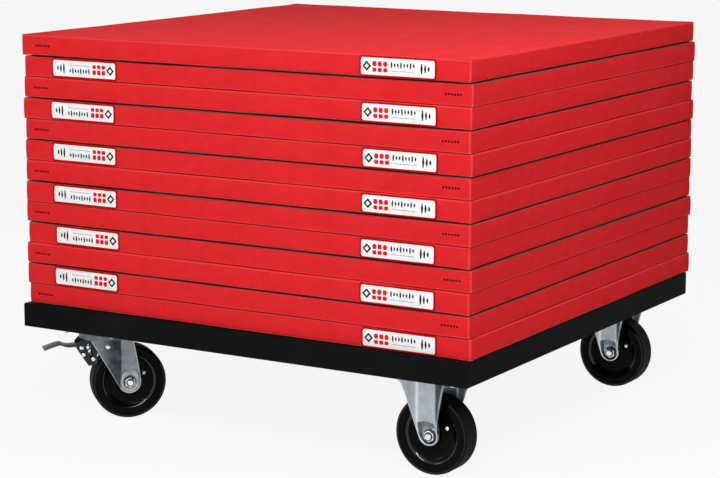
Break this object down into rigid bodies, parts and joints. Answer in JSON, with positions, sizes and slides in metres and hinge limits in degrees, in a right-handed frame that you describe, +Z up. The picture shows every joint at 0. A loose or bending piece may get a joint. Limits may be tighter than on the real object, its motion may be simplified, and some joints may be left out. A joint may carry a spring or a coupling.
{
  "type": "mat trolley",
  "caption": "Square steel deck on two fixed and two braked swivel casters, carrying a stack of loose square gym mats.",
  "frame": {"origin": "on the floor, under the middle of the deck", "axes": "+X from the braked swivel casters towards the fixed casters, -Y the front seen in the picture, +Z up"},
  "size_m": [1.0068, 1.0104, 0.7778],
  "materials": {
    "black_paint": "satin black powder coat",
    "zinc_plate": "bright zinc plate on pressed steel",
    "wheel_black": "solid black wheel with a semi-gloss tread",
    "bearing_metal": "plain sintered bearing",
    "red_cover": "red coated-fabric cover over foam"
  },
  "bodies": {
    "chassis": {"deck_sheet": "black_paint", "front_rail": "black_paint", "right_rail": "black_paint", "rear_rail": "black_paint", "left_rail": "black_paint", "left_cross_member": "black_paint", "right_cross_member": "black_paint", "front_left_mount_plate": "black_paint", "rear_left_mount_plate": "black_paint", "front_right_mount_plate": "black_paint", "rear_right_mount_plate": "black_paint", "front_left_top_plate": "zinc_plate", "front_left_king_pin": "zinc_plate", "rear_left_top_plate": "zinc_plate", "rear_left_king_pin": "zinc_plate", "front_right_fork": "zinc_plate", "front_right_axle_bolt": "zinc_plate", "front_right_axle_nut": "zinc_plate", "rear_right_fork": "zinc_plate", "rear_right_axle_bolt": "zinc_plate", "rear_right_axle_nut": "zinc_plate"},
    "front_left_swivel": {"front_left_ball_cage": "zinc_plate", "front_left_fork": "zinc_plate", "front_left_axle_bolt": "zinc_plate", "front_left_axle_nut": "zinc_plate", "front_left_pedal_pin": "zinc_plate", "front_left_shoe_pin": "zinc_plate"},
    "front_left_wheel": {"front_left_wheel": "wheel_black", "front_left_bearing": "bearing_metal"},
    "front_left_pedal": {"front_left_brake_pedal": "zinc_plate"},
    "front_left_shoe": {"front_left_brake_shoe": "zinc_plate"},
    "rear_left_swivel": {"rear_left_ball_cage": "zinc_plate", "rear_left_fork": "zinc_plate", "rear_left_axle_bolt": "zinc_plate", "rear_left_axle_nut": "zinc_plate", "rear_left_pedal_pin": "zinc_plate", "rear_left_shoe_pin": "zinc_plate"},
    "rear_left_wheel": {"rear_left_wheel": "wheel_black", "rear_left_bearing": "bearing_metal"},
    "rear_left_pedal": {"rear_left_brake_pedal": "zinc_plate"},
    "rear_left_shoe": {"rear_left_brake_shoe": "zinc_plate"},
    "front_right_wheel": {"front_right_wheel": "wheel_black", "front_right_bearing": "bearing_metal"},
    "rear_right_wheel": {"rear_right_wheel": "wheel_black", "rear_right_bearing": "bearing_metal"},
    "mat_01": {"mat_01": "red_cover"},
    "mat_02": {"mat_02": "red_cover"},
    "mat_03": {"mat_03": "red_cover"},
    "mat_04": {"mat_04": "red_cover"},
    "mat_05": {"mat_05": "red_cover"},
    "mat_06": {"mat_06": "red_cover"},
    "mat_07": {"mat_07": "red_cover"},
    "mat_08": {"mat_08": "red_cover"},
    "mat_09": {"mat_09": "red_cover"},
    "mat_10": {"mat_10": "red_cover"},
    "mat_11": {"mat_11": "red_cover"},
    "mat_12": {"mat_12": "red_cover"},
    "mat_13": {"mat_13": "red_cover"}
  },
  "joints": [
    {"name": "front_left_swivel_turn", "type": "hinge", "parent": "chassis", "child": "front_left_swivel", "pos_m": [-0.386, -0.397, 0.18], "axis": [0, 0, 1], "continuous": true},
    {"name": "front_left_wheel_roll", "type": "hinge", "parent": "front_left_swivel", "child": "front_left_wheel", "pos_m": [-0.35122, -0.3597, 0.075], "axis": [-0.7314, 0.682, 0], "continuous": true},
    {"name": "front_left_pedal_press", "type": "hinge", "parent": "front_left_swivel", "child": "front_left_pedal", "pos_m": [-0.41621, -0.4294, 0.1507], "axis": [0.7314, -0.682, 0], "range_deg": [0, 15]},
    {"name": "front_left_shoe_turn", "type": "hinge", "parent": "front_left_swivel", "child": "front_left_shoe", "pos_m": [-0.40031, -0.41235, 0.12597], "axis": [0.7314, -0.682, 0], "range_deg": [0, 22.5]},
    {"name": "rear_left_swivel_turn", "type": "hinge", "parent": "chassis", "child": "rear_left_swivel", "pos_m": [-0.386, 0.397, 0.18], "axis": [0, 0, 1], "continuous": true},
    {"name": "rear_left_wheel_roll", "type": "hinge", "parent": "rear_left_swivel", "child": "rear_left_wheel", "pos_m": [-0.35122, 0.4343, 0.075], "axis": [-0.7314, 0.682, 0], "continuous": true},
    {"name": "rear_left_pedal_press", "type": "hinge", "parent": "rear_left_swivel", "child": "rear_left_pedal", "pos_m": [-0.41621, 0.3646, 0.1507], "axis": [0.7314, -0.682, 0], "range_deg": [0, 15]},
    {"name": "rear_left_shoe_turn", "type": "hinge", "parent": "rear_left_swivel", "child": "rear_left_shoe", "pos_m": [-0.40031, 0.38165, 0.12597], "axis": [0.7314, -0.682, 0], "range_deg": [0, 22.5]},
    {"name": "front_right_wheel_roll", "type": "hinge", "parent": "chassis", "child": "front_right_wheel", "pos_m": [0.386, -0.397, 0.075], "axis": [0, 1, 0], "continuous": true},
    {"name": "rear_right_wheel_roll", "type": "hinge", "parent": "chassis", "child": "rear_right_wheel", "pos_m": [0.386, 0.397, 0.075], "axis": [0, 1, 0], "continuous": true},
    {"name": "mat_01_lift", "type": "slide", "parent": "chassis", "child": "mat_01", "axis": [0, 0, 1], "range_m": [0, 0.06]},
    {"name": "mat_02_lift", "type": "slide", "parent": "mat_01", "child": "mat_02", "axis": [0, 0, 1], "range_m": [0, 0.06]},
    {"name": "mat_03_lift", "type": "slide", "parent": "mat_02", "child": "mat_03", "axis": [0, 0, 1], "range_m": [0, 0.06]},
    {"name": "mat_04_lift", "type": "slide", "parent": "mat_03", "child": "mat_04", "axis": [0, 0, 1], "range_m": [0, 0.06]},
    {"name": "mat_05_lift", "type": "slide", "parent": "mat_04", "child": "mat_05", "axis": [0, 0, 1], "range_m": [0, 0.06]},
    {"name": "mat_06_lift", "type": "slide", "parent": "mat_05", "child": "mat_06", "axis": [0, 0, 1], "range_m": [0, 0.06]},
    {"name": "mat_07_lift", "type": "slide", "parent": "mat_06", "child": "mat_07", "axis": [0, 0, 1], "range_m": [0, 0.06]},
    {"name": "mat_08_lift", "type": "slide", "parent": "mat_07", "child": "mat_08", "axis": [0, 0, 1], "range_m": [0, 0.06]},
    {"name": "mat_09_lift", "type": "slide", "parent": "mat_08", "child": "mat_09", "axis": [0, 0, 1], "range_m": [0, 0.06]},
    {"name": "mat_10_lift", "type": "slide", "parent": "mat_09", "child": "mat_10", "axis": [0, 0, 1], "range_m": [0, 0.06]},
    {"name": "mat_11_lift", "type": "slide", "parent": "mat_10", "child": "mat_11", "axis": [0, 0, 1], "range_m": [0, 0.06]},
    {"name": "mat_12_lift", "type": "slide", "parent": "mat_11", "child": "mat_12", "axis": [0, 0, 1], "range_m": [0, 0.06]},
    {"name": "mat_13_lift", "type": "slide", "parent": "mat_12", "child": "mat_13", "axis": [0, 0, 1], "range_m": [0, 0.06]}
  ],
  "couplings": [
    {"joint": "front_left_shoe_turn", "follows": "front_left_pedal_press", "ratio": 1.5},
    {"joint": "rear_left_shoe_turn", "follows": "rear_left_pedal_press", "ratio": 1.5}
  ]
}
